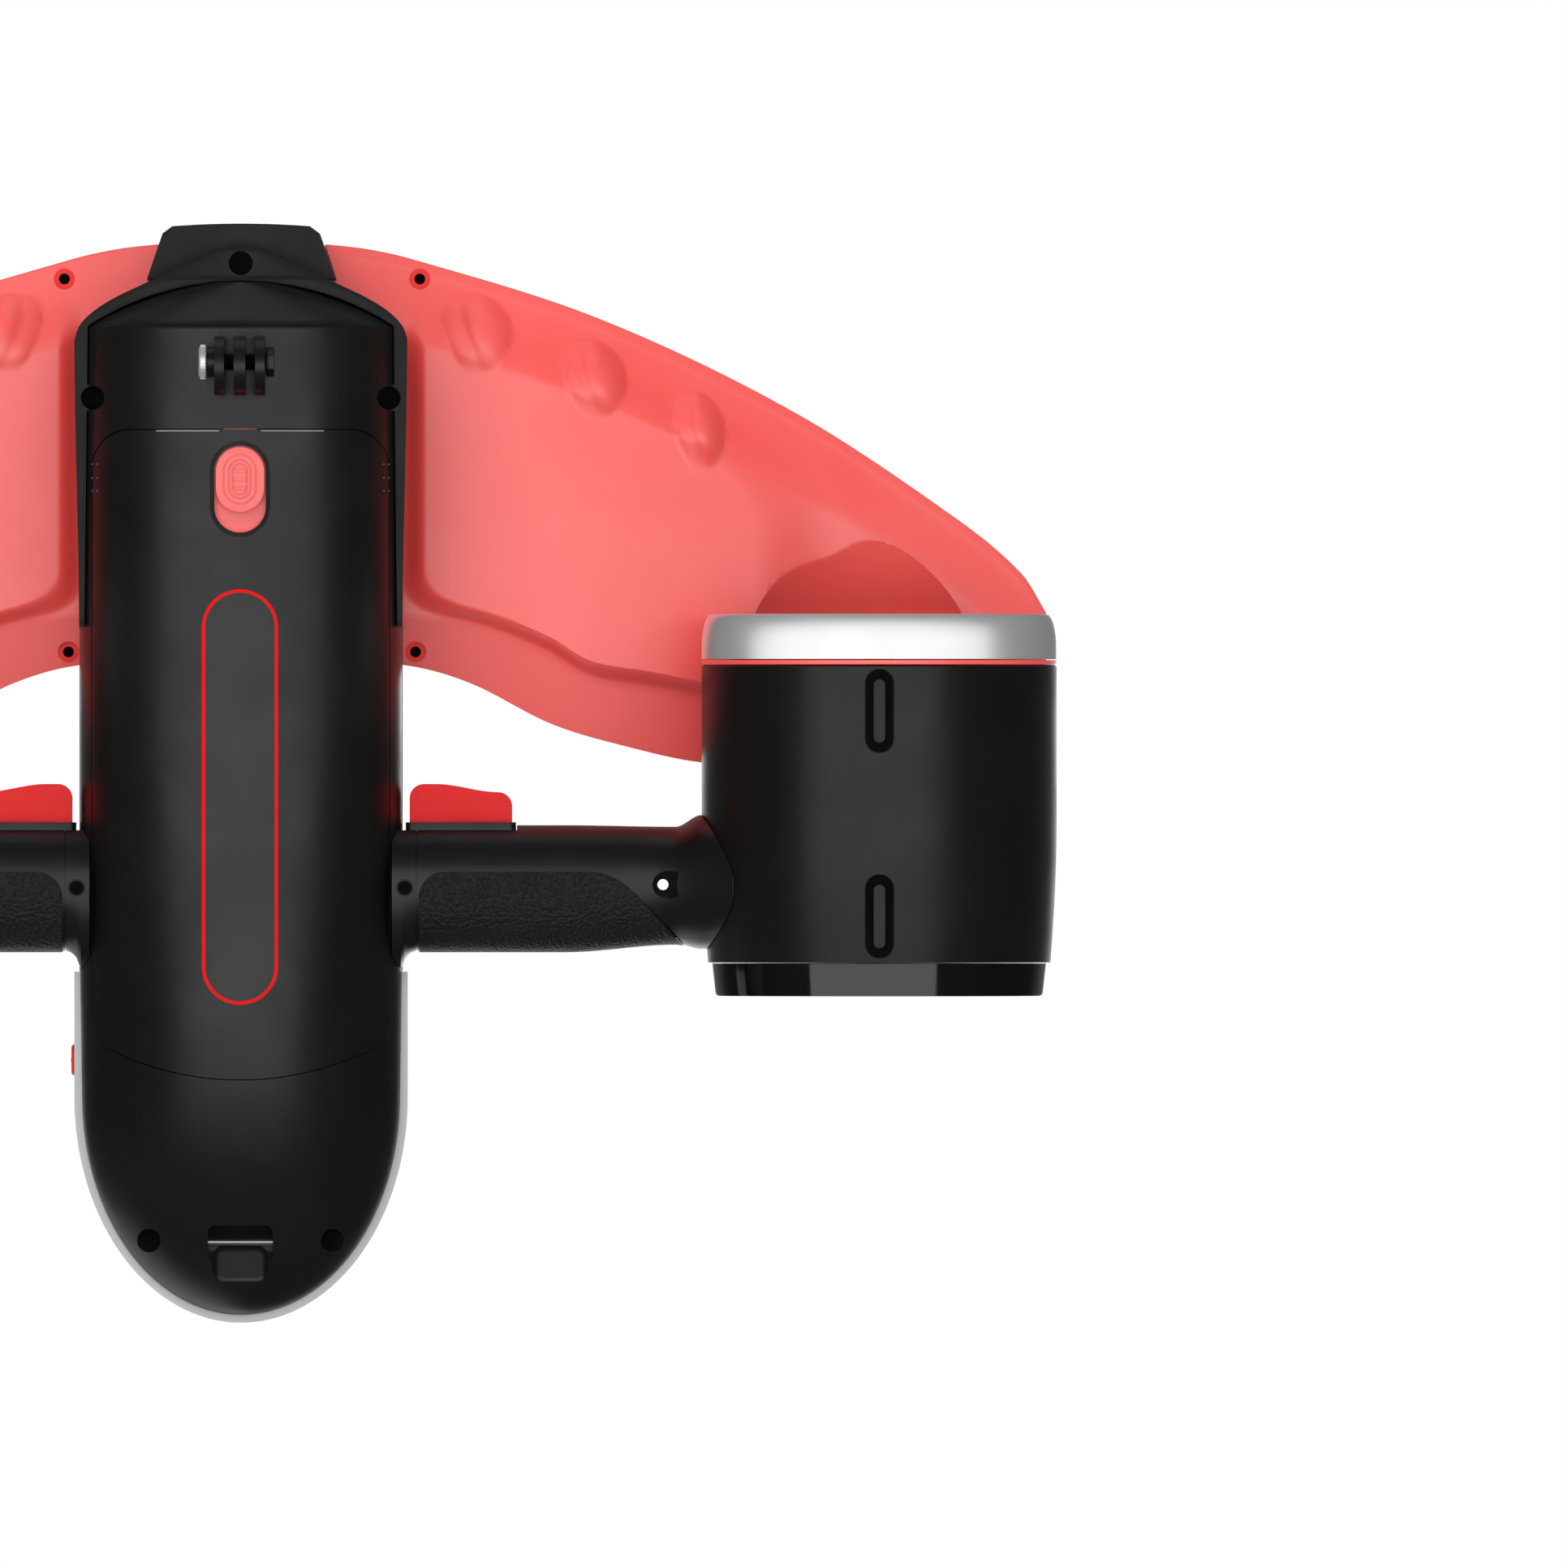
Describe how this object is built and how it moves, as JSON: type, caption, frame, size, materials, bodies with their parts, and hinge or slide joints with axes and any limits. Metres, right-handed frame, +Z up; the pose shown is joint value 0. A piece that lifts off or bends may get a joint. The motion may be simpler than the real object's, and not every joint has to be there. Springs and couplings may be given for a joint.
{
  "type": "underwater scooter",
  "caption": "Hand-held underwater scooter: a hull under a swept wing, ducted thrusters at its ends, cross handles with triggers, a belly battery and a camera mount.",
  "frame": {"origin": "middle of the bounding box on the surface that the feet stand on", "axes": "+Z up from the feet to the wing, -Y out of the nose, +X to the rider's left"},
  "size_m": [0.503, 0.3388, 0.1265],
  "materials": {
    "coral_plastic": "satin moulded",
    "red_plastic": "satin moulded",
    "bright_red": "satin moulded",
    "black_satin": "fine satin",
    "black_gloss": "gloss",
    "black_rubber": "pebbled or matt",
    "grey_plastic": "fine satin",
    "chrome": "polished",
    "steel": "turned",
    "dark_glass": "polished window",
    "copper": "wound wire",
    "board_green": "circuit board",
    "cell_blue": "wrapped cells"
  },
  "bodies": {
    "frame": {"lower_hull": "black_satin", "upper_hull": "black_satin", "tail_cover": "grey_plastic", "front_bezel": "black_satin", "nose_cap": "black_satin", "wing": "coral_plastic", "display_window": "dark_glass", "lanyard_pin": "steel", "camera_mount": "black_satin", "mount_nut": "steel", "battery_gasket": "black_rubber", "contact_block": "steel", "control_board": "board_green", "duct_shell_left": "black_satin", "intake_ring_left": "chrome", "accent_ring_left": "bright_red", "nozzle_ring_left": "black_gloss", "intake_grille_left": "black_satin", "motor_pod_left": "black_satin", "shaft_seal_left": "black_rubber", "front_bearing_left": "steel", "motor_stator_left": "copper", "foot_front_left": "black_rubber", "foot_rear_left": "black_rubber", "handle_left": "black_satin", "grip_pad_left": "black_rubber", "trigger_bezel_left": "black_satin", "trigger_spring_left": "steel", "duct_shell_right": "black_satin", "intake_ring_right": "chrome", "accent_ring_right": "bright_red", "nozzle_ring_right": "black_gloss", "intake_grille_right": "black_satin", "motor_pod_right": "black_satin", "shaft_seal_right": "black_rubber", "front_bearing_right": "steel", "motor_stator_right": "copper", "foot_front_right": "black_rubber", "foot_rear_right": "black_rubber", "handle_right": "black_satin", "grip_pad_right": "black_rubber", "trigger_bezel_right": "black_satin", "trigger_spring_right": "steel"},
    "battery": {"battery_case": "black_satin", "battery_lid": "black_satin", "battery_cells": "cell_blue", "latch_tray": "bright_red"},
    "latch": {"latch_slider": "bright_red"},
    "power_button": {"power_button": "bright_red"},
    "mount_screw": {"mount_screw": "steel"},
    "rotor_left": {"propeller_left": "black_satin", "spinner_left": "black_satin", "prop_shaft_left": "steel", "motor_rotor_left": "steel"},
    "trigger_left": {"trigger_left": "red_plastic"},
    "rotor_right": {"propeller_right": "black_satin", "spinner_right": "black_satin", "prop_shaft_right": "steel", "motor_rotor_right": "steel"},
    "trigger_right": {"trigger_right": "red_plastic"}
  },
  "joints": [
    {"name": "battery_release", "type": "slide", "parent": "frame", "child": "battery", "axis": [0, 0, -1], "range_m": [0, 0.06]},
    {"name": "latch_slide", "type": "slide", "parent": "battery", "child": "latch", "axis": [0, 1, 0], "range_m": [0, 0.0055], "stiffness_N_per_m": 500, "springref_m": -0.001},
    {"name": "power_press", "type": "slide", "parent": "frame", "child": "power_button", "axis": [1, 0, 0], "range_m": [0, 0.0012], "stiffness_N_per_m": 1200, "springref_m": -0.0005},
    {"name": "mount_screw_turn", "type": "hinge", "parent": "frame", "child": "mount_screw", "pos_m": [0, -0.1264, 0.0108], "axis": [1, 0, 0], "continuous": true},
    {"name": "propeller_left_spin", "type": "hinge", "parent": "frame", "child": "rotor_left", "pos_m": [0.19675, 0, 0.0565], "axis": [0, 1, 0], "continuous": true},
    {"name": "trigger_left_pull", "type": "slide", "parent": "frame", "child": "trigger_left", "axis": [0, 1, 0], "range_m": [0, 0.0045], "stiffness_N_per_m": 700, "springref_m": -0.0015, "deforming": ["trigger_spring_left"]},
    {"name": "propeller_right_spin", "type": "hinge", "parent": "frame", "child": "rotor_right", "pos_m": [-0.19675, 0, 0.0565], "axis": [0, 1, 0], "continuous": true},
    {"name": "trigger_right_pull", "type": "slide", "parent": "frame", "child": "trigger_right", "axis": [0, 1, 0], "range_m": [0, 0.0045], "stiffness_N_per_m": 700, "springref_m": -0.0015, "deforming": ["trigger_spring_right"]}
  ]
}
